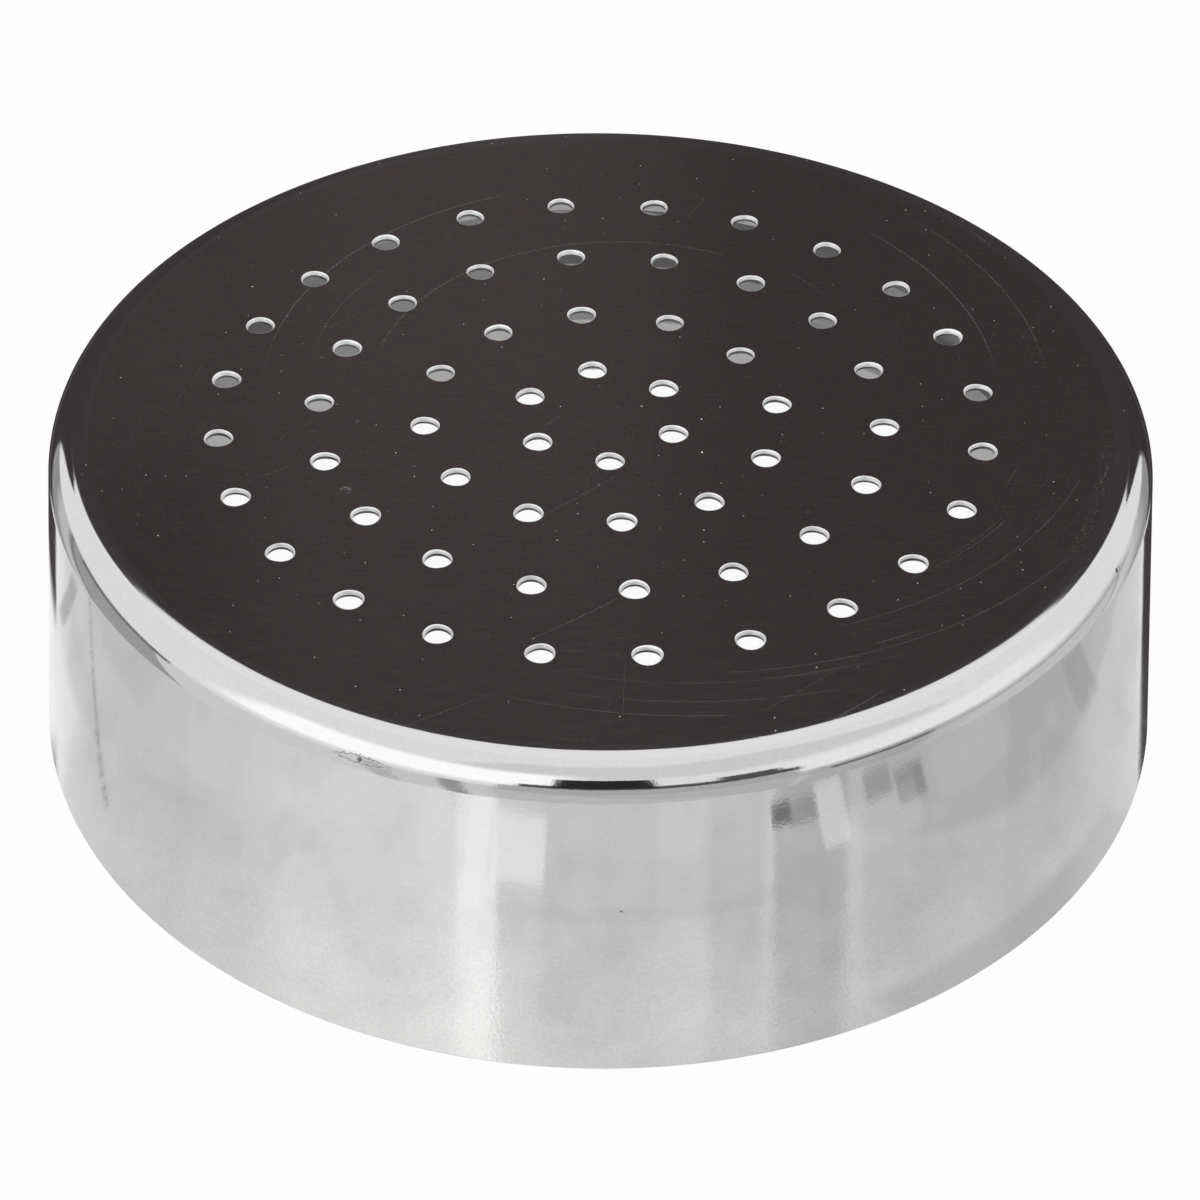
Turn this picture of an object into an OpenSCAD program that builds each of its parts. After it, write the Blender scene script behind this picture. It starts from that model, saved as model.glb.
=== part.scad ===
// Perforated screw lid of a cheese shaker, in millimetres, +Z up.
// Z = 0 is the open lower edge that the lid stands on, and the Z axis is the lid's own axis.
// A steel shell holds a moulded sleeve with the jar's thread, and the sleeve holds a flat seal.
// The lid is laid out from the jar's neck outwards, so the shell follows the neck's size.

/* [Shell] */
// Height from the lower edge to the top face
height = 24.5; // [21:0.5:34]
// Outside radius of the shoulder, where the top turns down into the skirt
shoulder_r = 2.6; // [1.6:0.1:4]
// Angle by which the skirt widens towards the lower edge, in degrees
skirt_taper = 4; // [0:0.5:6]
// Thickness of the sheet
sheet = 0.5; // [0.4:0.1:1]

/* [Holes] */
// Diameter of each hole
hole_d = 1.8; // [1.2:0.1:3]
// Width of the edge that the punch draws in round the top of each hole, as a 45 degree cone
hole_edge = 0.15; // [0.1:0.05:0.35]
// Diameter of the first circle of holes, nearest the middle
circle_1_d = 11; // [8:0.5:16]
// Diameter of the second circle of holes
circle_2_d = 25; // [20:0.5:30]
// Diameter of the third circle of holes
circle_3_d = 40; // [34:0.5:45]
// Diameter of the fourth circle of holes
circle_4_d = 54; // [49:0.5:56]
// Holes on the first circle, and how many more each next circle has
holes_step = 6; // [4:1:7]

/* [Threaded insert] */
// Outer diameter of the thread on the jar's neck
neck_thread_d = 70; // [68:0.5:80]
// Clearance between the neck's thread and the sleeve, on the radius
neck_gap = 0.3; // [0.1:0.05:0.6]
// Distance from one turn of the thread to the next
thread_pitch = 4.2; // [3.4:0.1:5.5]
// Turns of the thread
thread_turns = 1.25; // [0.75:0.25:2]
// How far the thread's ridge stands in from the sleeve
thread_depth = 1.4; // [0.8:0.1:1.8]
// Width of the ridge where it leaves the sleeve
thread_root_w = 2.4; // [1.8:0.1:3]
// Width of the ridge at its crest
thread_crest_w = 0.9; // [0.5:0.1:1.4]
// Smooth land above and below the thread
thread_land = 0.6; // [0.3:0.1:1.5]
// Depth of the smooth lead-in at the sleeve's mouth
lead_in_h = 3.5; // [2:0.5:6]
// How much wider the lead-in is than the sleeve, on the radius
lead_in_step = 0.6; // [0.3:0.1:1]
// Wall of the sleeve behind the thread
sleeve_wall = 1.6; // [1.2:0.1:2.2]
// Thickness of the flange that lies under the shell's top
flange_t = 1.6; // [1:0.1:2.5]
// Width of the seat under the flange, for the seal and the jar's rim
seat_w = 3.8; // [3:0.1:4.5]
// Gap between sleeve and skirt at the shoulder, which the ribs bridge
rib_h = 1.6; // [0.8:0.1:3]
// Width of each rib
rib_w = 1.2; // [0.8:0.1:2]
// How far below the shoulder the ribs end
rib_stop = 0.8; // [0.4:0.1:2]
// Number of ribs round the sleeve
rib_count = 24; // [12:1:36]

/* [Seal ring] */
// Thickness of the seal
seal_t = 1.2; // [0.8:0.1:2]
// Clearance round the seal, on the radius
seal_gap = 0.1; // [0.05:0.05:0.3]
// How far the bead that holds the seal stands in from the sleeve
bead_h = 0.4; // [0.2:0.1:0.6]
// Radius of the bead's round section
bead_r = 0.5; // [0.4:0.1:0.8]

/* [Hidden] */
$fn = 96;
// How far a cutting shape runs past what it cuts
cut = 1;
// How far the ridge and the ribs are rooted in the sleeve's wall
root = 0.3;

// Sleeve, from the neck outwards
sleeve_in_r = neck_thread_d / 2 + neck_gap;
sleeve_out_r = sleeve_in_r + sleeve_wall;
lead_in_r = sleeve_in_r + lead_in_step;
mouth_r = sleeve_in_r - seat_w;

// Shell: the skirt's inner face passes rib_h outside the sleeve at the shoulder's height
shoulder_z = height - shoulder_r;
rim_r = sleeve_out_r + rib_h + sheet / cos(skirt_taper) + shoulder_z * tan(skirt_taper);
shoulder_in_r = shoulder_r - sheet;
shoulder_x = rim_r - (shoulder_r + shoulder_z * sin(skirt_taper)) / cos(skirt_taper);

// Heights of the sleeve's features, from the underside of the top down to its mouth
flange_z = height - sheet;
seat_z = flange_z - flange_t;
seal_z = seat_z - seal_t;
bead_z = seal_z - bead_r;
thread_rise = thread_pitch * thread_turns;
thread_end_z = bead_z - bead_r - thread_land - thread_root_w / 2;
thread_start_z = thread_end_z - thread_rise;
lead_in_z = thread_start_z - thread_root_w / 2 - thread_land;
mouth_z = lead_in_z - lead_in_h;

// Holes
hole_r = hole_d / 2;
circle_d = [circle_1_d, circle_2_d, circle_3_d, circle_4_d];

// Thread: steps to a full turn, and the angle over which each end runs out into the wall
thread_steps = 48;
runout = 22.5;

// Radius of the skirt's inner face at height z
function skirt_in_r(z) = rim_r - sheet / cos(skirt_taper) - z * tan(skirt_taper);

// Filled section of the cup, moved inwards by t along the sheet's normal, and reaching down to z
module cup_section(t, z) {
    r = shoulder_r - t;
    touch = [shoulder_x + r * cos(skirt_taper), shoulder_z + r * sin(skirt_taper)];
    polygon([
        [0, z],
        [touch[0] + (touch[1] - z) * tan(skirt_taper), z],
        touch,
        [shoulder_x, shoulder_z],
        [shoulder_x, height - t],
        [0, height - t]
    ]);
    translate([shoulder_x, shoulder_z])
        circle(r = r);
}

// Tool for one hole: a straight bore with a drawn-in upper edge, its top face at Z = 0
module hole_cutter() {
    rotate_extrude()
        polygon([
            [0, -sheet - cut],
            [hole_r, -sheet - cut],
            [hole_r, -hole_edge],
            [hole_r + hole_edge + cut, cut],
            [0, cut]
        ]);
}

// Circle i has (i + 1) * holes_step holes, and every other circle is turned by half a space
module all_holes() {
    for (i = [0 : len(circle_d) - 1]) {
        count = (i + 1) * holes_step;
        turn = (i % 2 == 0) ? 180 / count : 0;
        for (k = [0 : count - 1])
            rotate(turn + k * 360 / count)
                translate([circle_d[i] / 2, 0, height])
                    hole_cutter();
    }
}

// Cup drawn from one sheet, with the holes punched through its top
module shell() {
    color([0.80, 0.80, 0.82])
        difference() {
            rotate_extrude()
                difference() {
                    cup_section(0, 0);
                    cup_section(sheet, -cut);
                }
            all_holes();
        }
}

// Section of the sleeve with its flange, and the bead under the seal
module sleeve_section() {
    polygon([
        [lead_in_r, mouth_z],
        [sleeve_out_r, mouth_z],
        [sleeve_out_r, flange_z - shoulder_in_r],
        [sleeve_out_r - shoulder_in_r, flange_z],
        [mouth_r, flange_z],
        [mouth_r, seat_z],
        [sleeve_in_r, seat_z],
        [sleeve_in_r, lead_in_z],
        [lead_in_r, lead_in_z - lead_in_step]
    ]);
    translate([sleeve_in_r + bead_r - bead_h, bead_z])
        circle(r = bead_r, $fn = 32);
}

// One station of the thread: its root edges lie in the wall, and grow (0 to 1) lets the crest out of it
function thread_station(a, z, grow) =
    let (
        root_r = sleeve_in_r + root,
        crest_r = root_r - grow * (root + thread_depth),
        crest_w = thread_root_w + grow * (thread_crest_w - thread_root_w)
    )
    [
        for (p = [
            [root_r, -thread_root_w / 2],
            [crest_r, -crest_w / 2],
            [crest_r, crest_w / 2],
            [root_r, thread_root_w / 2]
        ])
            [p[0] * cos(a), p[0] * sin(a), z + p[1]]
    ];

// Right-hand ridge of the thread, climbing thread_pitch a turn and running out into the wall at both ends
module thread_ridge() {
    sweep = 360 * thread_turns;
    steps = ceil(thread_steps * thread_turns);
    least = 0.05;
    stations = [
        for (i = [0 : steps])
            let (
                a = sweep * i / steps,
                grow = max(least, min(1, min(a, sweep - a) / runout))
            )
            thread_station(a, thread_start_z + thread_rise * i / steps, grow)
    ];
    points = [for (s = stations) each s];
    sides = [
        for (i = [0 : steps - 1], k = [0 : 3])
            let (a = 4 * i + k, b = 4 * i + (k + 1) % 4)
            each [[a, a + 4, b], [b, a + 4, b + 4]]
    ];
    first = [[0, 1, 2], [0, 2, 3]];
    last = [for (f = first) [4 * steps + f[0], 4 * steps + f[2], 4 * steps + f[1]]];
    polyhedron(points = points, faces = concat(sides, first, last));
}

// Ribs that fill the gap between sleeve and skirt, tapered to the skirt's inner face
module ribs() {
    rib_in_r = sleeve_out_r - root;
    rib_end_z = shoulder_z - rib_stop;
    for (k = [0 : rib_count - 1])
        rotate(k * 360 / rib_count)
            intersection() {
                rotate_extrude()
                    polygon([
                        [rib_in_r, mouth_z],
                        [skirt_in_r(mouth_z), mouth_z],
                        [skirt_in_r(rib_end_z), rib_end_z],
                        [rib_in_r, rib_end_z]
                    ]);
                translate([0, -rib_w / 2, mouth_z - cut])
                    cube([rim_r, rib_w, rib_end_z - mouth_z + 2 * cut]);
            }
}

// Moulded sleeve: flange against the shell's top, ribs wedged in the skirt, thread inside
module threaded_insert() {
    color([0.60, 0.61, 0.62])
        union() {
            rotate_extrude()
                sleeve_section();
            ribs();
            thread_ridge();
        }
}

// Flat seal under the flange, held up by the bead
module seal_ring() {
    color([0.86, 0.86, 0.83])
        translate([0, 0, seal_z])
            difference() {
                cylinder(r = sleeve_in_r - seal_gap, h = seal_t);
                translate([0, 0, -cut])
                    cylinder(r = mouth_r, h = seal_t + 2 * cut);
            }
}

shell();
threaded_insert();
seal_ring();
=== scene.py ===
"""A perforated screw lid of polished steel, standing on a pale table in a white studio.

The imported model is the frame: metres, +Z up, Z = 0 at the lid's open lower edge, the Z axis its own axis.
"""
from functools import reduce
from math import cos, degrees, pi, radians, sin, tan
from operator import or_

import bpy
import numpy as np
from mathutils import Matrix, Vector
from mathutils.geometry import delaunay_2d_cdt


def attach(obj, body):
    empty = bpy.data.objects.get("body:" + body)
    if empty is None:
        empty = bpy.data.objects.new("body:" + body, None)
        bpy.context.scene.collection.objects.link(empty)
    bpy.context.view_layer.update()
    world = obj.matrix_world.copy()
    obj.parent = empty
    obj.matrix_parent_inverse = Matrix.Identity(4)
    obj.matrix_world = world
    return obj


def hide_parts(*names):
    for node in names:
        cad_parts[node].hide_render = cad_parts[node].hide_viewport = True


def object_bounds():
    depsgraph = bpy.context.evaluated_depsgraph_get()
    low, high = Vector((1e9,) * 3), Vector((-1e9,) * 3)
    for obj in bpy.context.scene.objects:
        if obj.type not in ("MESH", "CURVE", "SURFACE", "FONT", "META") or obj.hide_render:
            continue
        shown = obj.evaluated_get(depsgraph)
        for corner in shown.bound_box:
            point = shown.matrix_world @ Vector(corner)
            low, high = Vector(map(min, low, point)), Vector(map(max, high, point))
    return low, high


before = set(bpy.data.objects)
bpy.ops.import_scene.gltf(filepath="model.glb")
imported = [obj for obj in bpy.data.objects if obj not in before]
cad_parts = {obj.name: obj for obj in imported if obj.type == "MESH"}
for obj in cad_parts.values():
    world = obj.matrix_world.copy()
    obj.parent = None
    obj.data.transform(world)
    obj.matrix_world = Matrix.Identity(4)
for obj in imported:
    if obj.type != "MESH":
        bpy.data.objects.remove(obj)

cad_low, cad_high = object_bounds()
scene = bpy.context.scene
scene.view_settings.view_transform = "Standard"
MM = 0.001


# ---------------------------------------------------------------------------------------------- camera
# The photograph looks down on the lid with a long lens from a third of a metre away. The four circles of
# holes, the outline and the lower edge give the place: everything is measured from the top's middle.
IMAGE_W = 1200                      # pixels across the photograph
FOCAL_PX = 4269.0                   # focal length in its pixels
SENSOR_W = 36.0                     # millimetres
EYE_ELEVATION = radians(38.42)
EYE_ROLL = radians(0.58)
PATTERN_TURN = radians(6.8)         # how far the lid is turned on the table, from the first hole's place
EYE_OFFSET = Vector((-0.05, 13.06, 301.4)) * MM    # the top's middle: across, up and along the view

across = Vector((cos(PATTERN_TURN), -sin(PATTERN_TURN), 0))
away = Vector((sin(PATTERN_TURN), cos(PATTERN_TURN), 0))
view_line = away * cos(EYE_ELEVATION) - Vector((0, 0, sin(EYE_ELEVATION)))
view_up = away * sin(EYE_ELEVATION) + Vector((0, 0, cos(EYE_ELEVATION)))
eye = Vector((0, 0, cad_high.z)) - (
    EYE_OFFSET.x * across + EYE_OFFSET.y * view_up + EYE_OFFSET.z * view_line
)
camera_x = cos(EYE_ROLL) * across + sin(EYE_ROLL) * view_up
camera_y = cos(EYE_ROLL) * view_up - sin(EYE_ROLL) * across

lens = bpy.data.cameras.new("photo_camera")
lens.sensor_width = SENSOR_W
lens.lens = SENSOR_W * FOCAL_PX / IMAGE_W
lens.clip_start = 0.01
camera = bpy.data.objects.new("photo_camera", lens)
turn = Matrix((camera_x, camera_y, -view_line)).transposed().to_4x4()
camera.matrix_world = Matrix.Translation(eye) @ turn
scene.collection.objects.link(camera)
scene.camera = camera


# ---------------------------------------------------------------------------------------------- studio
# A white tent with a soft lamp on the left, closed behind the lid by a black card, which the flat top
# mirrors. On the camera's side the tent is open: the camera and its stand show as the shoulder's dark line.
class Wire:
    """One socket of a shader. Arithmetic on it adds Math nodes, and node() adds any other node."""

    def __init__(self, tree, socket=None):
        self.tree, self.socket = tree, socket

    def node(self, kind, settings=None, sockets=None, out=0):
        """The wire out of a new node. Its settings are set first, then its sockets' values or links."""
        made = self.tree.nodes.new(kind)
        for name, value in (settings or {}).items():
            if name == "stops":
                stops = made.color_ramp.elements
                stops.remove(stops[1])
                stops[0].position, stops[0].color = value[0][0], grey(value[0][1])
                for place, shade in value[1:]:
                    stops.new(place).color = grey(shade)
            else:
                setattr(made, name, value)
        for key, value in (sockets or {}).items():
            if isinstance(value, Wire):
                self.tree.links.new(value.socket, made.inputs[key])
            else:
                made.inputs[key].default_value = value
        return Wire(self.tree, made.outputs[out] if made.outputs else None)

    def math(self, operation, *others):
        values = dict(enumerate((self,) + others))
        return self.node("ShaderNodeMath", {"operation": operation}, values)

    def __add__(self, other):
        return self.math("ADD", other)

    def __sub__(self, other):
        return self.math("SUBTRACT", other)

    def __rsub__(self, other):
        return self.node("ShaderNodeMath", {"operation": "SUBTRACT"}, {0: other, 1: self})

    def __mul__(self, other):
        return self.math("MULTIPLY", other)

    def __truediv__(self, other):
        return self.math("DIVIDE", other)

    def __or__(self, other):
        return self.math("MAXIMUM", other)

    def __abs__(self):
        return self.math("ABSOLUTE")

    __radd__ = __add__
    __rmul__ = __mul__

    def rise(self, low, high):
        """0 below low, 1 above high, and smooth between them; it falls where low is above high."""
        sockets = {"Value": self, "From Min": low, "From Max": high}
        return self.node("ShaderNodeMapRange", {"interpolation_type": "SMOOTHSTEP"}, sockets)

    def band(self, low, high, soft):
        """1 between low and high, with an edge this soft at each end."""
        return self.rise(low - soft, low) * self.rise(high + soft, high)

    def cover(self, mask, value):
        """This value where the mask is 0 and the other one where it is 1."""
        return self * (1 - mask) + mask * value

    def blend(self, at_0, at_1):
        """The colour between two others, with this wire as the share of the second."""
        return self.node("ShaderNodeMix", {"data_type": "RGBA"}, {0: self, 6: at_0, 7: at_1}, out=2)

    def dot(self, vector):
        settings = {"operation": "DOT_PRODUCT"}
        return self.node("ShaderNodeVectorMath", settings, {0: self, 1: vector}, out=1)

    def join(self, second, third):
        """A vector of three numbers, of which this is the first."""
        return self.node("ShaderNodeCombineXYZ", None, {0: self, 1: second, 2: third})

    def noise(self, scale, detail=2.0, roughness=0.5):
        """Noise from 0 to 1 at the place that this vector gives."""
        sockets = {"Vector": self, "Scale": scale, "Detail": detail, "Roughness": roughness}
        return self.node("ShaderNodeTexNoise", None, sockets)


def grey(value, warmth=0.0):
    """A neutral colour of this linear brightness, a little redder and less blue where it is warm."""
    return (value * (1 + warmth), value, value * (1 - warmth), 1)


def new_shader(data):
    """The empty node tree of a material or world, as a wire to start from."""
    data.use_nodes = True
    data.node_tree.nodes.clear()
    return Wire(data.node_tree)


TENT_LIGHT = 1.12                   # brightness of the white cloth
# What stands round the table, and low behind it, from left to right: (turn at its left edge, how soft that
# edge is, brightness). Each reaches to the next one. The turn is in degrees to the right, from the camera's
# direction in FRONT and from the black card's in REAR. The edges and the brightness, here and in the lists
# below, were measured from the reflections in the photograph, and here the brightness is rounded to 0.05.
NEAR_FRONT = (
    (-90, 0, 0.85), (-70, 6, 1.0), (-36, 5, 1.1), (-27.5, 0.3, 1.3), (-19.5, 0.3, 0.95), (-11, 1, 0.85),
    (12, 0.4, 0.9), (22, 0.5, 0.8), (33, 0.4, 0.95), (35, 0.4, 0.7), (44.5, 0.5, 0.65), (50.5, 0.4, 0.85),
    (54, 0.5, 0.75),
)
NEAR_REAR = ((-90, 0, 0.8), (-37, 5, 1.0), (30, 4, 0.8), (65, 8, 0.7))
FAR_FRONT = (
    (-90, 0, 0.95), (-43.5, 0.5, 0.7), (-38, 1, 0.9), (-29, 0.5, 0.45), (-24.5, 0.5, 0.9), (-19, 0.5, 0.75),
    (37, 0.5, 0.9), (38.5, 0.5, 0.7), (54, 3, 0.65), (64, 2, 0.8), (72, 4, 0.9),
)
FAR_REAR = (
    (-90, 0, 0.5), (-60.5, 0.5, 0.3), (-58, 1, 0.75), (-49.5, 2.5, 0.4), (-44, 2, 0.45), (50, 3.5, 0.75),
    (56, 2, 0.95), (63.5, 0.4, 0.4), (64.5, 0.4, 0.9),
)
# Heights in degrees between which the view low over the table and that of the table near the lid fade in
LOW_DOWN = (6, 2)
NEAR_BY = (-31, -33.5)
# What else is seen, as turn and height, both (from, to, softness) in degrees, and brightness
AT_THE_SIDES = (
    ((-93, -65, 1.5), (-1.5, 2.5, 1.5), 0.26),  # the upper edge of a grey board on the left
    ((62, 142, 6), (-7.5, -4.5, 2), 0.68),      # the table's far edge on the right
    ((117, 136, 2), (-8, -4, 1.5), 0.24),       # a box on it
    ((90, 138, 14), (10, 30, 10), 1.24),        # a lamp's glow in the cloth
)
IN_FRONT = (
    ((-30, 80, 10), (46, 72, 9), 0.94),         # the cloth over the camera, in shade
    ((-68, -13, 14), (19, 44, 11), 1.55),       # the large soft lamp, left of the camera
    ((-14, 37, 1.5), (12.5, 18.0, 4), 0.11),    # the lower edge of the camera's stand
    ((24, 34, 2), (17, 26, 3), 0.12),
    ((-7.5, 10, 1.5), (17, 38, 2.5), 0.03),     # the camera
    ((-17.5, 36, 1.5), (-1, 11, 2), 0.60),      # the wall behind it
)
# The black card behind the lid: half its width at eye height, above and on the table, and the heights of
# its foot and shoulder, where it narrows, and of its top. All are in degrees.
CARD_SHADE = (0.0555, 0.0475, 0.0480)
CARD_SIDE = (41.0, 33.0, 28.0)
CARD_FOOT = (-27, -33)
CARD_SHOULDER = (27, 31)
CARD_TOP = (45.6, 44.4)
# On the card: a fold, which is paler below FOLD_END, a paler strip beside it, and the height of its sheen
CARD_FOLD = (-8.6, -6.6)
FOLD_END = (36.6, 36.0)
CARD_STRIP = (-4.2, -0.8)
CARD_SHEEN = (42, 34.5)


def round_table(turned_by, things):
    """Brightness by turn, from -90 to 90 degrees, of things that stand side by side."""
    before = things[0][2]
    stops = [(0, before / 2)]
    for edge, soft, shade in things[1:]:
        stops += [((edge - soft + 90) / 180, before / 2), ((edge + soft + 90) / 180, shade / 2)]
        before = shade
    sockets = {0: (turned_by + 90) / 180}
    return turned_by.node("ShaderNodeValToRGB", {"stops": stops}, sockets) * 2


sky = bpy.data.worlds.new("studio")
scene.world = sky
start = new_shader(sky)
direction = start.node("ShaderNodeTexCoord", out=0)
depth = direction.dot(away)
sideways = direction.dot(across)
height = direction.dot((0, 0, 1)).math("ARCSINE") * degrees(1)
from_card = sideways.math("ARCTAN2", depth) * degrees(1)
from_camera = sideways.math("ARCTAN2", depth * -1) * degrees(1)
in_front = depth.math("LESS_THAN", 0)
low_by = height.rise(*LOW_DOWN)
near_by = height.rise(*NEAR_BY)
far_table = round_table(from_card, FAR_REAR).cover(in_front, round_table(from_camera, FAR_FRONT))
near_table = round_table(from_card, NEAR_REAR).cover(in_front, round_table(from_camera, NEAR_FRONT))
light = (TENT_LIGHT * (1 - low_by) + low_by * far_table).cover(near_by, near_table)
for turned_by, cards in ((from_card, AT_THE_SIDES), (from_camera, IN_FRONT)):
    for turns, heights, shade in cards:
        light = light.cover(turned_by.band(*turns) * height.band(*heights), shade)
card_edge = (
    CARD_SIDE[0]
    - height.rise(*CARD_SHOULDER) * (CARD_SIDE[0] - CARD_SIDE[1])
    - height.rise(*CARD_FOOT) * (CARD_SIDE[0] - CARD_SIDE[2])
)
card = (card_edge - abs(from_card)).rise(-0.5, 0.5) * height.rise(*CARD_TOP)
fold = from_card.band(*CARD_FOLD, 0.5) * (height.rise(*FOLD_END) * 0.3 - 0.08)
sheen = height.rise(*CARD_SHEEN) * (from_card.band(*CARD_STRIP, 3.2) * 0.42 + 0.06)
card_light = fold + sheen - from_card.rise(1, 7) * 0.05 + 1.05
card_colour = start.node(
    "ShaderNodeVectorMath",
    {"operation": "SCALE"},
    {0: CARD_SHADE, "Scale": card_light},
)
studio = start.node("ShaderNodeBackground", None, {"Color": card.blend(light, card_colour)})
white = start.node("ShaderNodeBackground", None, {"Color": grey(1.0)})
seen = start.node("ShaderNodeLightPath", out="Is Camera Ray")
sky_mix = start.node("ShaderNodeMixShader", None, {0: seen, 1: studio, 2: white})
start.node("ShaderNodeOutputWorld", None, {"Surface": sky_mix})

# A soft lamp overhead shapes the inside when it is seen from below. The steel doesn't mirror it.
LAMP_AT = (-0.2, -0.15, 0.9)        # to the right, away and up, in metres
LAMP_SIZE = 0.7                     # metres
LAMP_POWER = 0.8                    # watts
lamp_data = bpy.data.lights.new("overhead_lamp", "AREA")
lamp_data.size = LAMP_SIZE
lamp_data.energy = LAMP_POWER
lamp = bpy.data.objects.new("overhead_lamp", lamp_data)
lamp.location = across * LAMP_AT[0] + away * LAMP_AT[1] + Vector((0, 0, LAMP_AT[2]))
lamp.rotation_mode = "QUATERNION"
lamp.rotation_quaternion = lamp.location.to_track_quat("Z", "Y")
lamp.visible_glossy = False
scene.collection.objects.link(lamp)

# The table is white and lit from below, as product tables are, so it stays white and keeps a faint shadow.
# The steel mirrors the studio's lower half in it, but for a white strip between the lid and the black card.
STRIP_OUT = (48.5, 45.5)            # millimetres over which that strip fades out: from the lid's axis,
STRIP_FRONT = (12, 5)               # towards the camera
STRIP_RIGHT = (40, 36)              # and to the right
TABLE_R = 6.0                       # half its width, in metres
TABLE_WHITE = 0.82
TABLE_GLOW = 0.94                   # share of its white that is its own
floor_mesh = bpy.data.meshes.new("table")
corners = [(x * TABLE_R, y * TABLE_R, 0) for x, y in ((-1, -1), (1, -1), (1, 1), (-1, 1))]
floor_mesh.from_pydata(corners, [], [(0, 1, 2, 3)])
floor = bpy.data.objects.new("table", floor_mesh)
floor_paint = bpy.data.materials.new("lit_white_table")
start = new_shader(floor_paint)
glow = start.node("ShaderNodeEmission", None, {"Color": grey(1.0), "Strength": 1.0})
matt = start.node("ShaderNodeBsdfDiffuse", None, {"Color": grey(TABLE_WHITE)})
table_top = start.node("ShaderNodeMixShader", None, {0: TABLE_GLOW, 1: matt, 2: glow})
clear = start.node("ShaderNodeBsdfTransparent")
from_below = start.node("ShaderNodeNewGeometry", out="Backfacing")
mirrored = start.node("ShaderNodeLightPath", out="Is Glossy Ray")
spot = start.node("ShaderNodeTexCoord", out="Object")
from_axis = spot.node("ShaderNodeVectorMath", {"operation": "LENGTH"}, {0: spot}, out=1) / MM
table_right, table_front = spot.dot(across) / MM, spot.dot(away * -1) / MM
strip = from_axis.rise(*STRIP_OUT) * table_front.rise(*STRIP_FRONT) * table_right.rise(*STRIP_RIGHT)
# Painted shadows and painted lighter patches on the table, which only mirrored rays see, so that the steel
# shows a painted reflection of things lying on the table and of their shadows: turn from the camera in
# degrees and distance from the axis in millimetres, each (from, to, softness), and share
SHADOWS = (
    ((38.6, 42.4, 0.5), (65.4, 68.8, 0.7), 0.35),
    ((43.4, 47.5, 0.6), (63.2, 67.2, 0.8), 0.45),
    ((27.0, 31.0, 0.4), (66.2, 69.3, 0.5), 0.37),
    ((24.5, 27.0, 0.4), (66.9, 69.6, 0.5), 0.72),
    ((-13.5, 24, 0.8), (57.9, 59.1, 0.8), 0.08),
    ((32, 68, 4), (0, 42.6, 1.5), 0.15),
    ((77.5, 81, 2.5), (55, 61.5, 2.5), 0.26),
    ((-97, -95, 1.2), (50, 56, 2), 0.36),
)
GLINTS = (
    ((-13.8, -7.2, 0.4), (62.3, 70.4, 0.7), 0.53),
    ((31.2, 35.0, 0.4), (62.0, 70.4, 0.7), 0.40),
    ((35.6, 45.5, 1.2), (60, 65, 1.5), 0.14),
    ((-68, -51, 6), (58, 68, 3), 0.12),
    ((-37, -23, 4), (64, 71, 2.5), 0.10),
    ((51, 61, 3), (61, 67, 2), 0.08),
    ((-8, 20, 4), (67, 73, 3), 0.07),
    ((-17.5, -15, 0.4), (59, 72, 2), 0.5),
)
GLINT_LIGHT = 1.4                   # brightness of the lighter ones
CLOUD_SIZE, CLOUD_SHARE = 7, 0.09   # faint clouds between them, only in front, where the camera sees them
CLOUDS_FRONT = (-20, -5)
# Painted shadow and painted light of a grey board on each side, seen only in the steel: the way to it, as
# right and forwards, how far off its nearest edge is, and how much painted shade it puts on the table under
# it and painted light on the table before it
BOARD_SHADOW_AND_LIGHT = (((0.932, 0.365), 53.2, 0.11, 0.03), ((-0.970, 0.242), 57.5, 0.03, 0.06))
# A painted shadow line, as of the ragged cut edge of a sheet of paper, seen only in the steel: the way to
# it and its distance, and how far forwards it is seen
PAPER_EDGE_SHADOW = ((-0.697, 0.718), 41.1)
PAPER_EDGE_SHADOW_FRONT = (-1, 17)
turned_by = table_right.math("ARCTAN2", table_front) * degrees(1)


def patch(turns, distances, share):
    """How much one patch covers at each place on the table."""
    return turned_by.band(*turns) * from_axis.band(*distances) * share


# Faint clouds of painted shade and painted light on the table, seen only in the steel
shade_and_light_clouds = (table_right / CLOUD_SIZE).join(table_front / CLOUD_SIZE, 0).noise(1.0, 2.0, 0.6)
cloud_share = table_front.rise(*CLOUDS_FRONT) * CLOUD_SHARE
shadow, glint = cloud_share * shade_and_light_clouds.rise(0.42, 0.75), cloud_share * shade_and_light_clouds.rise(0.45, 0.25)
# Painted shade beyond each board's edge and painted light before it
for (way_right, way_front), edge, dark, bright in BOARD_SHADOW_AND_LIGHT:
    beyond = table_right * way_right + table_front * way_front - edge
    shadow = shadow | beyond.rise(-0.5, 0.5) * dark
    glint = glint | beyond.band(-5.5, -0.6, 0.4) * bright
shadow = reduce(or_, [patch(*place) for place in SHADOWS], shadow)
glint = reduce(or_, [patch(*place) for place in GLINTS], glint)
# The painted shadow line of a paper edge on the table
(way_right, way_front), edge = PAPER_EDGE_SHADOW
ragged = (table_right * 1.6).join(table_front * 1.6, 0).noise(1.0, 2.0, 0.6)
off_edge = table_right * way_right + table_front * way_front - edge + (ragged - 0.5) * 0.9
paper_edge_shadow = abs(off_edge).rise(0.42, 0.12) * table_front.band(*PAPER_EDGE_SHADOW_FRONT, 1)
shadow = shadow | paper_edge_shadow * ragged.rise(0.3, 0.6) * 0.6
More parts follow.
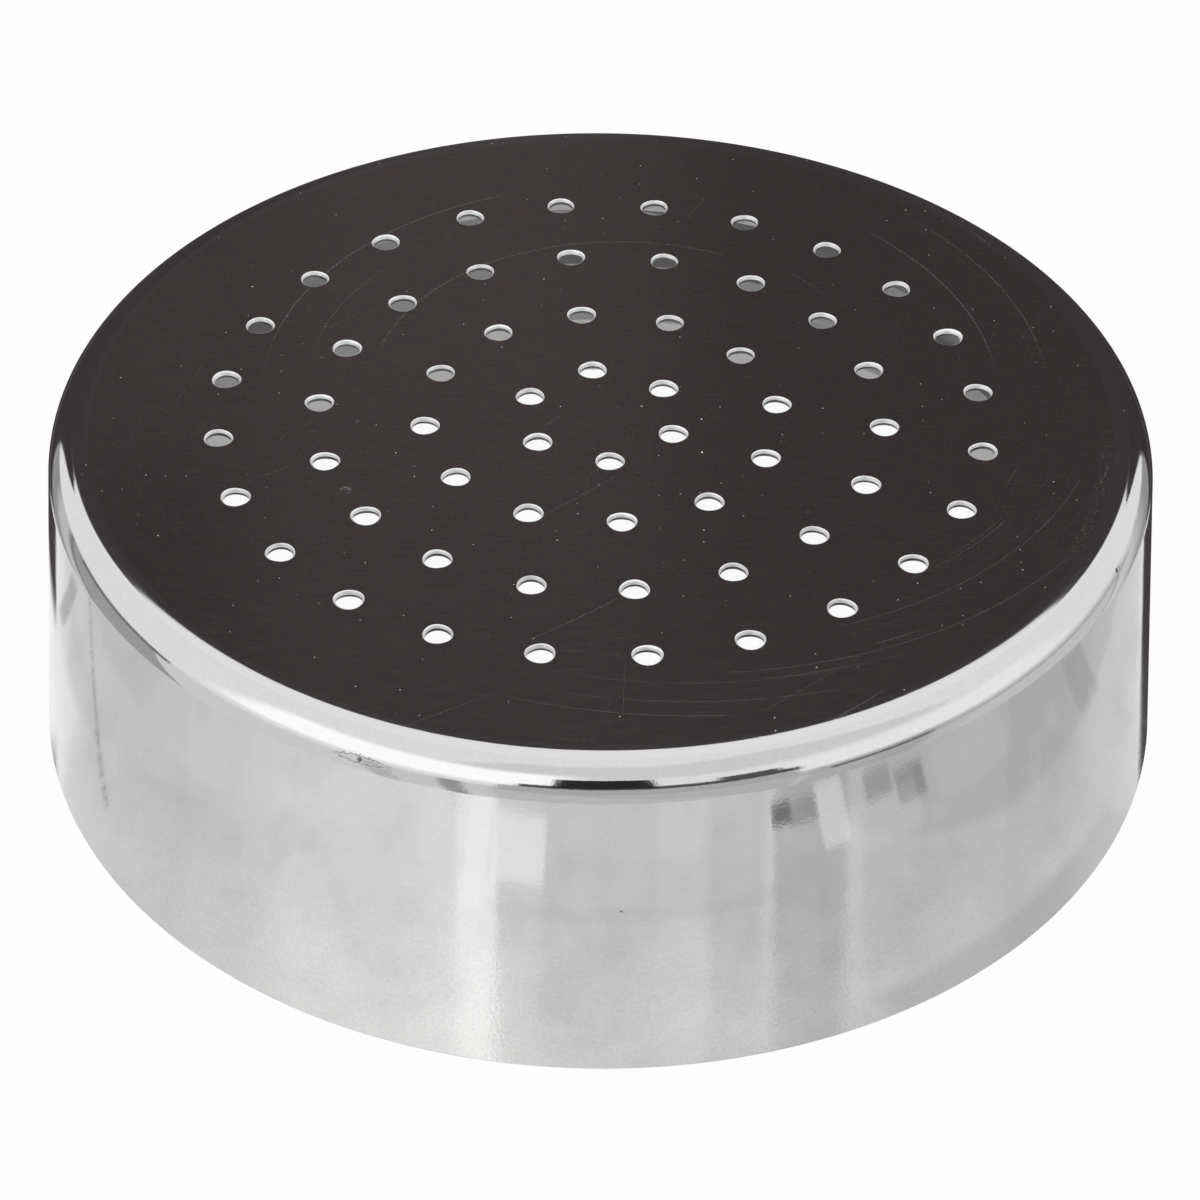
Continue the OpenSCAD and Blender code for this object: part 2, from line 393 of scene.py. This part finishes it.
# Black and glowing emission that paint these shadows and lighter patches on the table for mirrored rays
painted_shadow = start.node("ShaderNodeEmission", None, {"Color": grey(0.0)})
painted_glint = start.node("ShaderNodeEmission", None, {"Color": grey(1.0), "Strength": GLINT_LIGHT})
only_mirrored = mirrored * (1 - from_below)
patched = start.node("ShaderNodeMixShader", None, {0: shadow * only_mirrored, 1: clear, 2: painted_shadow})
patched = start.node("ShaderNodeMixShader", None, {0: glint * only_mirrored, 1: patched, 2: painted_glint})
see_through = from_below | mirrored * (1 - strip)
surface = start.node("ShaderNodeMixShader", None, {0: see_through, 1: table_top, 2: patched})
start.node("ShaderNodeOutputMaterial", None, {"Surface": surface})
floor_mesh.materials.append(floor_paint)
scene.collection.objects.link(floor)


# ----------------------------------------------------------------------------------------------- shell
# The lid's outside is one cup drawn from half-millimetre stainless sheet and polished. Each hole was
# punched from above, which drew its edge in and tore the last of the sheet. The inside was left dull.
SHEET = 0.5                         # all in millimetres, as in the CAD
SHOULDER_R = 2.6
SKIRT_TAPER = radians(4)
LID_H = cad_high.z / MM
RIM_R = 40.533                      # outside, at the lower edge
EDGE_ROLL = 0.12                    # the cut lower edge is deburred
HOLE_R = 0.9
DRAWN_IN = (0.05, 0.14)             # radius of the edge that the punch drew in, from hole to hole
LEANS = 0.45                        # how much more it is on one side of a hole
CLEAN_CUT = (0.46, 0.60)            # share of the sheet that was cut cleanly, above the torn rest
UNEVEN = 0.025                      # how far out of round a hole is
CUT_TILT = 72                       # the clean cut narrows downwards: how far its normal leans from upright
TORN_OUT = 0.05                     # how much wider the torn end is
CIRCLE_R = (5.5, 12.5, 20.0, 27.0)
HOLES_STEP = 6
AROUND = 384                        # points round the lid
HOLE_AROUND = 40                    # points round a hole
SHOULDER_STEPS, INNER_STEPS = 32, 16    # steps of the shoulder, outside and inside,
WALL_STEPS, ROLL_STEPS = 12, 6          # and of each straight wall and each rounded edge
DRAWN_ROWS = 9                      # rows of the arc at a hole's edge
SAME_POINT = 1e-7                   # closer than this, in mm, two points of a plate are one

shoulder_z = LID_H - SHOULDER_R
wall_line = RIM_R * cos(SKIRT_TAPER)     # the outer wall is where r cos + z sin has this value
shoulder_x = (wall_line - SHOULDER_R - shoulder_z * sin(SKIRT_TAPER)) / cos(SKIRT_TAPER)


def arc(centre, radius, first, last, steps, facing=1):
    """Rows of (radius, height, normal) round a centre, where an angle of 0 points up and 90 outwards."""
    a = np.radians(np.linspace(first, last, steps + 1))
    way = np.stack([np.sin(a), np.cos(a)], 1)
    return np.hstack([np.array(centre) + radius * way, facing * way])


def turned(rows, count):
    """Turns rows of (radius, height, normal) round the Z axis, as points and normals of a grid.

    The rows may differ from one turn to the next: they are then (row, turn, 4), and else (row, 4).
    """
    if rows.ndim == 2:
        rows = np.repeat(rows[:, None], count, 1)
    a = 2 * pi * np.arange(count) / count
    ring = np.broadcast_to(np.stack([np.cos(a), np.sin(a)], 1), rows.shape[:2] + (2,))
    points = np.concatenate([rows[..., :1] * ring, rows[..., 1:2]], 2)
    normals = np.concatenate([rows[..., 2:3] * ring, rows[..., 3:4]], 2)
    return points.reshape(-1, 3), normals.reshape(-1, 3)


def grid_faces(rows, count, first=0):
    """Quads of a closed grid of rows of count points, which run down the profile and round the axis."""
    i, j = np.meshgrid(np.arange(rows - 1), np.arange(count), indexing="ij")
    after = (j + 1) % count
    quads = np.stack([i * count + j, (i + 1) * count + j, (i + 1) * count + after, i * count + after], 2)
    return quads.reshape(-1, 4) + first


def plate_faces(outer, holes):
    """Triangles between a circle of points and the circles of the holes in it, found by Delaunay's rule.

    outer and holes hold (vertex number, x, y). A triangle with all its corners on one hole is left out.
    """
    rims = holes.reshape(-1, 3)
    numbers = np.concatenate([outer[:, 0], rims[:, 0]]).astype(int)
    points = np.concatenate([outer[:, 1:], rims[:, 1:]])
    owner = np.concatenate([np.full(len(outer), -1), np.repeat(np.arange(len(holes)), holes.shape[1])])
    edges, first = [], 0
    for size in [len(outer)] + [holes.shape[1]] * len(holes):
        edges += [(first + k, first + (k + 1) % size) for k in range(size)]
        first += size
    found = delaunay_2d_cdt([Vector(p) for p in points], edges, [], 0, SAME_POINT)
    back = np.array([ids[0] for ids in found[3]])
    faces = back[np.array(found[2])]
    owners = owner[faces]
    in_hole = (owners[:, 0] >= 0) & (owners[:, 0] == owners[:, 1]) & (owners[:, 1] == owners[:, 2])
    faces = faces[~in_hole]
    a, b, c = points[faces[:, 0]], points[faces[:, 1]], points[faces[:, 2]]
    turn_way = (b[:, 0] - a[:, 0]) * (c[:, 1] - a[:, 1]) - (b[:, 1] - a[:, 1]) * (c[:, 0] - a[:, 0])
    faces[turn_way < 0] = faces[turn_way < 0][:, ::-1]
    return numbers[faces]


skirt_tilt = 90 - degrees(SKIRT_TAPER)
shoulder_at = (shoulder_x, shoulder_z)
roll_x = [
    (wall_line - depth_in - EDGE_ROLL * sin(SKIRT_TAPER)) / cos(SKIRT_TAPER)
    for depth_in in (EDGE_ROLL, SHEET - EDGE_ROLL)
]
outside_top = arc(shoulder_at, SHOULDER_R, 0, skirt_tilt, SHOULDER_STEPS)
outside_low = arc((roll_x[0], EDGE_ROLL), EDGE_ROLL, skirt_tilt, 180, ROLL_STEPS)
inside_low = arc((roll_x[1], EDGE_ROLL), EDGE_ROLL, 180, 180 + skirt_tilt, ROLL_STEPS)
inside_top = arc(shoulder_at, SHOULDER_R - SHEET, skirt_tilt, 0, INNER_STEPS, facing=-1)


def between(rows_a, rows_b, steps):
    """Straight rows from the end of one profile to the start of the next, without those two."""
    share = np.linspace(0, 1, steps + 1)[1:-1, None]
    return rows_a[-1] * (1 - share) + rows_b[0] * share


outside = np.vstack([outside_top, between(outside_top, outside_low, WALL_STEPS), outside_low])
inside = np.vstack([inside_low, between(inside_low, inside_top, WALL_STEPS), inside_top])
profile = np.vstack([outside, inside])
body_points, body_normals = turned(profile, AROUND)
body_faces = grid_faces(len(profile), AROUND)
body_dull = np.repeat([0.0, 1.0], [len(outside) * AROUND, len(inside) * AROUND])

chance = np.random.default_rng(7)
hole_at = []
for ring_number, ring_r in enumerate(CIRCLE_R):
    count = (ring_number + 1) * HOLES_STEP
    lead = 0.5 if ring_number % 2 == 0 else 0.0
    angle = 2 * pi * (np.arange(count) + lead) / count
    hole_at.append(ring_r * np.stack([np.cos(angle), np.sin(angle)], 1))
hole_at = np.concatenate(hole_at)


def punched_hole(drawn, lean_to, clean):
    """Rows of a hole: an arc drawn in, a clean cut that goes on along its tangent, and a torn end.

    The arc's radius is drawn times 1 + LEANS cos(a - lean_to) at the angle a round the hole, and the hole's
    own radius is HOLE_R + UNEVEN cos(3 a - 2 lean_to).
    """
    a = 2 * pi * np.arange(HOLE_AROUND) / HOLE_AROUND
    hole_r = HOLE_R + UNEVEN * np.cos(3 * a - 2 * lean_to)
    radius = drawn * (1 + LEANS * np.cos(a - lean_to))
    bend = np.radians(np.linspace(0, CUT_TILT, DRAWN_ROWS))[:, None]
    way_out, way_up = -np.sin(bend) + 0 * a, np.cos(bend) + 0 * a
    tilt = radians(CUT_TILT)
    cut_width = (clean * SHEET - radius * (1 - cos(tilt))) / tan(tilt)
    mouth_r = hole_r + cut_width + radius * sin(tilt)
    drawn_r, drawn_z = mouth_r + radius * way_out, LID_H - radius + radius * way_up
    drawn_rows = np.stack([drawn_r, drawn_z, way_out, way_up], 2)
    cut_z = LID_H - clean * SHEET
    rest = [
        (0, cut_z, -sin(tilt), cos(tilt)),
        (0.01, cut_z - 0.01, -1, 0),
        (TORN_OUT, LID_H - SHEET + 0.01, -1, -0.2),
        (TORN_OUT + 0.01, LID_H - SHEET, 0, -1),
    ]
    rest = np.repeat(np.array(rest, float)[:, None], HOLE_AROUND, 1)
    rest[..., 0] += hole_r
    return np.vstack([drawn_rows, rest])


# How torn, dull and cut each row of a hole is: the drawn rows, then the ends of the clean and the torn cut
HOLE_TORN = np.repeat([0.0] * (DRAWN_ROWS + 1) + [1.0, 1.0, 0.0], HOLE_AROUND)
HOLE_DULL = np.repeat([0.0] * (DRAWN_ROWS + 3) + [1.0], HOLE_AROUND)
HOLE_CUT = np.repeat([0.0, 0.4] + [1.0] * (DRAWN_ROWS - 1) + [0.0] * 3, HOLE_AROUND)
points, normals, faces = [body_points], [body_normals], [body_faces]
dull, torn, cut = [body_dull], [0 * body_dull], [0 * body_dull]
top_rims, under_rims = [], []
filled = len(body_points)
for at in hole_at:
    drawn, lean_to = chance.uniform(*DRAWN_IN), chance.uniform(0, 2 * pi)
    hole_rows = punched_hole(drawn, lean_to, chance.uniform(*CLEAN_CUT))
    hole_points, hole_normals = turned(hole_rows, HOLE_AROUND)
    hole_points[:, :2] += at
    numbers = filled + np.arange(len(hole_points))
    rim = np.column_stack([numbers, hole_points[:, :2]])
    top_rims.append(rim[:HOLE_AROUND])
    under_rims.append(rim[-HOLE_AROUND:])
    points.append(hole_points)
    normals.append(hole_normals)
    dull.append(HOLE_DULL)
    torn.append(HOLE_TORN)
    cut.append(HOLE_CUT)
    faces.append(grid_faces(len(hole_rows), HOLE_AROUND, filled)[:, ::-1])
    filled += len(hole_points)
points, normals = np.concatenate(points), np.concatenate(normals)
first_row = np.arange(AROUND)
last_row = len(body_points) - AROUND + first_row
top_outer = np.column_stack([first_row, points[first_row, :2]])
under_outer = np.column_stack([last_row, points[last_row, :2]])
top_plate = plate_faces(top_outer, np.array(top_rims))
under_plate = plate_faces(under_outer, np.array(under_rims))
curved_faces = np.concatenate(faces)
all_faces = curved_faces.tolist() + top_plate.tolist() + under_plate[:, ::-1].tolist()
TOP_ROWS = 7                        # rows of the shoulder that have the top's scratches too
body_count = len(body_faces)
finish = np.zeros(len(all_faces), int)
finish[: TOP_ROWS * AROUND] = 1
finish[body_count : len(curved_faces) + len(top_plate)] = 1

mesh = bpy.data.meshes.new("polished_shell")
mesh.from_pydata((points * MM).tolist(), [], all_faces)
mesh.polygons.foreach_set("use_smooth", np.ones(len(all_faces), bool))
mesh.polygons.foreach_set("material_index", finish)
mesh.attributes.new("dull", "FLOAT", "POINT").data.foreach_set("value", np.concatenate(dull))
mesh.attributes.new("torn", "FLOAT", "POINT").data.foreach_set("value", np.concatenate(torn))
mesh.attributes.new("cut", "FLOAT", "POINT").data.foreach_set("value", np.concatenate(cut))
normals /= np.linalg.norm(normals, axis=1, keepdims=True)
mesh.normals_split_custom_set_from_vertices(normals.tolist())
mesh.update()
shell = bpy.data.objects.new("polished_shell", mesh)
scene.collection.objects.link(shell)

STEEL = 0.64
SIDE_SHADE = grey(STEEL * 0.95, 0.004)
WORN_SHADE = grey(STEEL * 1.11, 0.010)      # where handling has rubbed it brighter
WARM_SHADE = grey(STEEL, 0.13)              # faint warm blotches on the top
FLECK_SHADE = grey(STEEL * 0.80)            # and its darker flecks
NICK_SHADE = grey(0.10)
# The inside is dull, and it is painted darker than the outer steel, as shade inside the lid
INNER_DULL_AND_SHADE = grey(0.42, 0.01)              # the inside, left dull
# The torn end of each hole is rough, and its nearly black colour is painted shade inside the hole
TORN_END_SHADOW = grey(0.13)
CUT_SHADE = grey(0.90)
DUST_SHADE = grey(0.72)


def place_in_mm(start):
    """Object coordinates in millimetres, as a vector and as x, y and z."""
    place = start.node("ShaderNodeTexCoord", out="Object")
    mm = start.node("ShaderNodeVectorMath", {"operation": "SCALE"}, {0: place, "Scale": 1 / MM})
    return mm, mm.dot((1, 0, 0)), mm.dot((0, 1, 0)), mm.dot((0, 0, 1))


def bumped(bumps):
    """The normal of a surface with bumps of this height in millimetres."""
    return bumps.node("ShaderNodeBump", None, {"Strength": 1.0, "Distance": MM, "Height": bumps})


side_steel = bpy.data.materials.new("polished_steel_side")
start = new_shader(side_steel)
mm, x, y, z = place_in_mm(start)
dull = start.node("ShaderNodeAttribute", {"attribute_name": "dull"}, out="Fac")
turn = y.math("ARCTAN2", x)
shoulder = z.rise(shoulder_z - 1.0, shoulder_z + 1.5)
low_down = z.rise(17, 0)
grain = (turn * 50).join(z / 0.26, 0).noise(1.0, 3.0, 0.65)
peel = mm.noise(4.5, 1.0, 0.6)
wave = mm.noise(0.28, 0.0)
satin = mm.noise(0.16, 2.0, 0.6) * 0.5 + low_down * 0.8
bumps = grain * 0.0012 + peel * (low_down * 0.0052 + 0.0014 + dull * 0.006) + wave * 0.010


def off(centre, size):
    """Distance in mm from a place on the outside, given to the right, away and up, wobbled by this much."""
    from_it = mm.node(
        "ShaderNodeVectorMath",
        {"operation": "DISTANCE"},
        {0: mm, 1: centre[0] * across + centre[1] * away + Vector((0, 0, centre[2]))},
        out=1,
    )
    return from_it + (peel - 0.5) * size


# Small dents and a scuff, as on any lid that has been used
NICKS = (((1.64, -39.56, 13.41), 0.13), ((35.12, -15.81, 23.41), 0.20))
SCUFF_AT, SCUFF_LENGTH, SCUFF_WIDTH = (-15.3, -35.69, 22.81), 2.0, 0.22
nick = reduce(or_, [off(nick_at, nick_r).rise(nick_r, nick_r * 0.4) for nick_at, nick_r in NICKS])
rim_way = Vector((-SCUFF_AT[1], SCUFF_AT[0])).normalized()      # along the rim at the scuff
from_scuff = abs(mm.dot(across * rim_way.x + away * rim_way.y)) / SCUFF_LENGTH
outline = SCUFF_WIDTH * (1 - from_scuff * from_scuff) - abs(z + (peel - 0.5) * 0.3 - SCUFF_AT[2])
scuff = abs(outline).rise(0.06, 0.02) * from_scuff.rise(1.0, 0.7) * 0.8
scuff = scuff | off(SCUFF_AT, 0.3).rise(0.25, 0.12)
bumps = bumps - nick * 0.05 - scuff * 0.03
normal = bumped(bumps)
rough = (satin * 0.06 + grain * 0.03 + 0.035 - shoulder * 0.01).cover(dull, 0.42)
worn = grain * 0.4 + peel * (low_down * 0.3 + 0.3) + satin * 0.2
base = worn.rise(0.30, 0.90).blend(SIDE_SHADE, WORN_SHADE)
base = (nick | scuff * 0.8).blend(base, NICK_SHADE)
# The inside's colour is painted darker, as shade under the top
base = dull.blend(base, INNER_DULL_AND_SHADE)
paint = start.node(
    "ShaderNodeBsdfPrincipled",
    None,
    {"Base Color": base, "Metallic": 1.0, "Roughness": rough, "Normal": normal},
)
start.node("ShaderNodeOutputMaterial", None, {"Surface": paint})
shell.data.materials.append(side_steel)

top_steel = bpy.data.materials.new("polished_steel_top")
start = new_shader(top_steel)
mm, x, y, z = place_in_mm(start)
torn = start.node("ShaderNodeAttribute", {"attribute_name": "torn"}, out="Fac")
cut = start.node("ShaderNodeAttribute", {"attribute_name": "cut"}, out="Fac")
right, back = mm.dot(across), mm.dot(away)


def scratches(centre, reach, spacing, period, length, width, seed):
    """Thin arcs round a far centre, all in mm: each ring of this spacing has one arc in every period.

    Its place in the ring, its start and its length come from the ring's number by white noise.
    """
    dx, dy = x - centre[0], y - centre[1]
    rings = (dx * dx + dy * dy).math("SQRT") / spacing + seed
    number = rings.math("FLOOR")
    draw = start.node("ShaderNodeTexWhiteNoise", {"noise_dimensions": "1D"}, {"W": number}, out=1)
    first, second, third = draw.dot((1, 0, 0)), draw.dot((0, 1, 0)), draw.dot((0, 0, 1))
    off_line = abs(rings.math("FRACT") - (first * 0.8 + 0.1)) * spacing
    along = (dy.math("ARCTAN2", dx) * (reach / period) + second).math("FRACT")
    end = third * third * (length / period)
    faint = (third * 7.3).math("FRACT")
    return off_line.rise(width, width * 0.3) * (end - along).rise(0, 0.04) * along.rise(0, 0.03) * faint


from_middle = (x * x + y * y).math("SQRT")
towards_edge = from_middle.rise(20, 31) * back.rise(8, -8) * (right.rise(-20, 10) * 0.5 + 0.25)
# Marks of wiping: long arcs at the back, two families of short ones, and fine ones near the front edge
scratch = (
    scratches((2, 4), 22, 1.2, 120, 80, 0.055, 1) * back.rise(0, 14)
    | scratches((-60, 70), 90, 0.8, 50, 9, 0.026, 4)
    | scratches((70, -40), 80, 0.9, 50, 9, 0.026, 5) * 0.6
    | scratches((6, 4), 34, 0.25, 60, 34, 0.035, 6) * towards_edge
)
SPECKS = 0.7                        # cells to a millimetre that may hold a speck of dust
CLUSTER_AT = (6.5, -6, 0)           # there are a few more of them round this place
dots = right.join(back, 0)
speck_sockets = {"Vector": dots, "Scale": SPECKS, "Randomness": 1.0}
speck_settings = {"voronoi_dimensions": "2D"}
speck_off = start.node("ShaderNodeTexVoronoi", speck_settings, speck_sockets) / SPECKS
speck_draw = start.node("ShaderNodeTexVoronoi", speck_settings, speck_sockets, out=1)
off_cluster = dots.node("ShaderNodeVectorMath", {"operation": "DISTANCE"}, {0: dots, 1: CLUSTER_AT}, out=1)
cluster = off_cluster.rise(11, 3)
speck_size = (speck_draw.dot((1, 0, 0)) + cluster * 0.12 - 0.80) | 0
dust = (speck_size * 0.30 - speck_off).rise(0, 0.015) * speck_draw.dot((0, 1, 0))
FLAT_END = (35.6, 36.3)             # millimetres from the middle over which the flat top gives way
mottle = mm.noise(1.3, 2.0, 0.65)
fleck = dots.noise(5.5, 2.0, 0.6)

# Marks of wear: three small ones, as (right, back, radius, strength), and scuffs along the right edge
MARKS = ((-4.22, -4.20, 0.35, 1.0), (-17.57, -9.10, 0.5, 1.0), (-27.43, -2.28, 1.1, 0.25))
CHAIN_OUT, CHAIN_TURN = (35.3, 35.8), (66, 86)      # from the middle, and degrees to the camera's right


def worn_spot(mark_right, mark_back, mark_r, strength):
    """Where one mark of wear is."""
    dx, dy = right - mark_right, back - mark_back
    return (dx * dx + dy * dy).math("SQRT").rise(mark_r, mark_r * 0.7) * strength


mark = reduce(or_, [worn_spot(*place) for place in MARKS])
turned_right = right.math("ARCTAN2", back * -1) * degrees(1)
chain = from_middle.band(*CHAIN_OUT, 0.35) * turned_right.band(*CHAIN_TURN, 6)
chips = abs(dots.noise(1.9, 2.0, 0.7) - 0.5).rise(0.045, 0.01)
mark = chips * (mark | chain * fleck.rise(0.42, 0.6) * 0.6)
sheet_grain = (right / 3).join(back / 0.13, 0).noise(1.0, 2.0, 0.6)
wave = mm.noise(0.28, 0.0)
bumps = sheet_grain * 0.0003 + wave * 0.004 + (torn + cut * 0.15) * mottle * 0.03
normal = bumped(bumps)
rough = sheet_grain * 0.05 + 0.06 + scratch * 0.2 + dust * 0.5 + mark * 0.22
rough = rough.cover(cut, 0.55).cover(torn, 0.5)
on_shoulder = from_middle.rise(*FLAT_END)
base = (mottle.rise(0.42, 0.68) * (1 - on_shoulder)).blend(grey(STEEL), WARM_SHADE)
base = ((fleck * 0.6 + sheet_grain * 0.4).rise(0.3, 0.7) | on_shoulder).blend(FLECK_SHADE, base)
base = cut.blend(base, CUT_SHADE)
# The torn end inside each hole is painted nearly black, as shade
base = torn.blend(base, TORN_END_SHADOW)
base = dust.blend(base, DUST_SHADE)
paint = start.node(
    "ShaderNodeBsdfPrincipled",
    None,
    {"Base Color": base, "Metallic": 1 - dust, "Roughness": rough, "Normal": normal},
)
start.node("ShaderNodeOutputMaterial", None, {"Surface": paint})
shell.data.materials.append(top_steel)
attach(shell, "root")
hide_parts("shell")


# ------------------------------------------------------------------------------------- threaded insert
# The sleeve with the jar's thread is one moulding in grey polypropylene, pushed up under the top and
# wedged in the skirt by its ribs.
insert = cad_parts["threaded_insert"]
plastic = bpy.data.materials.new("sleeve_plastic")
start = new_shader(plastic)
mm, x, y, z = place_in_mm(start)
flow = (y.math("ARCTAN2", x) * 9).join(z / 14, 0).noise(1.0, 2.0, 0.5)      # streaks of the melt's flow
spark = mm.noise(6.0, 2.0, 0.6)                                             # the mould's spark-eroded skin
bumps = spark * 0.010 + flow * 0.02
normal = bumped(bumps)
base = (flow * 0.7 + spark * 0.3).rise(0.3, 0.7).blend(grey(0.345), grey(0.375, 0.01))
rough = spark * 0.14 + flow * 0.06 + 0.34
paint = start.node(
    "ShaderNodeBsdfPrincipled",
    None,
    {"Base Color": base, "Roughness": rough, "Normal": normal},
)
start.node("ShaderNodeOutputMaterial", None, {"Surface": paint})
insert.data.materials.clear()
insert.data.materials.append(plastic)


# ------------------------------------------------------------------------------------------- seal ring
# A flat ring of pale silicone under the sleeve's flange, which the jar's rim closes against.
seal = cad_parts["seal_ring"]
silicone = bpy.data.materials.new("seal_silicone")
start = new_shader(silicone)
mm, x, y, z = place_in_mm(start)
bloom = mm.noise(0.35, 2.0, 0.6)                # cloudy bloom on the rubber
skin = mm.noise(4.5, 2.0, 0.6)
bumps = skin * 0.008
normal = bumped(bumps)
base = (bloom * 0.8 + skin * 0.2).rise(0.3, 0.7).blend(grey(0.68, 0.012), grey(0.74, 0.008))
rough = bloom * 0.12 + skin * 0.08 + 0.42
paint = start.node(
    "ShaderNodeBsdfPrincipled",
    None,
    {"Base Color": base, "Roughness": rough, "Normal": normal},
)
start.node("ShaderNodeOutputMaterial", None, {"Surface": paint})
seal.data.materials.clear()
seal.data.materials.append(silicone)
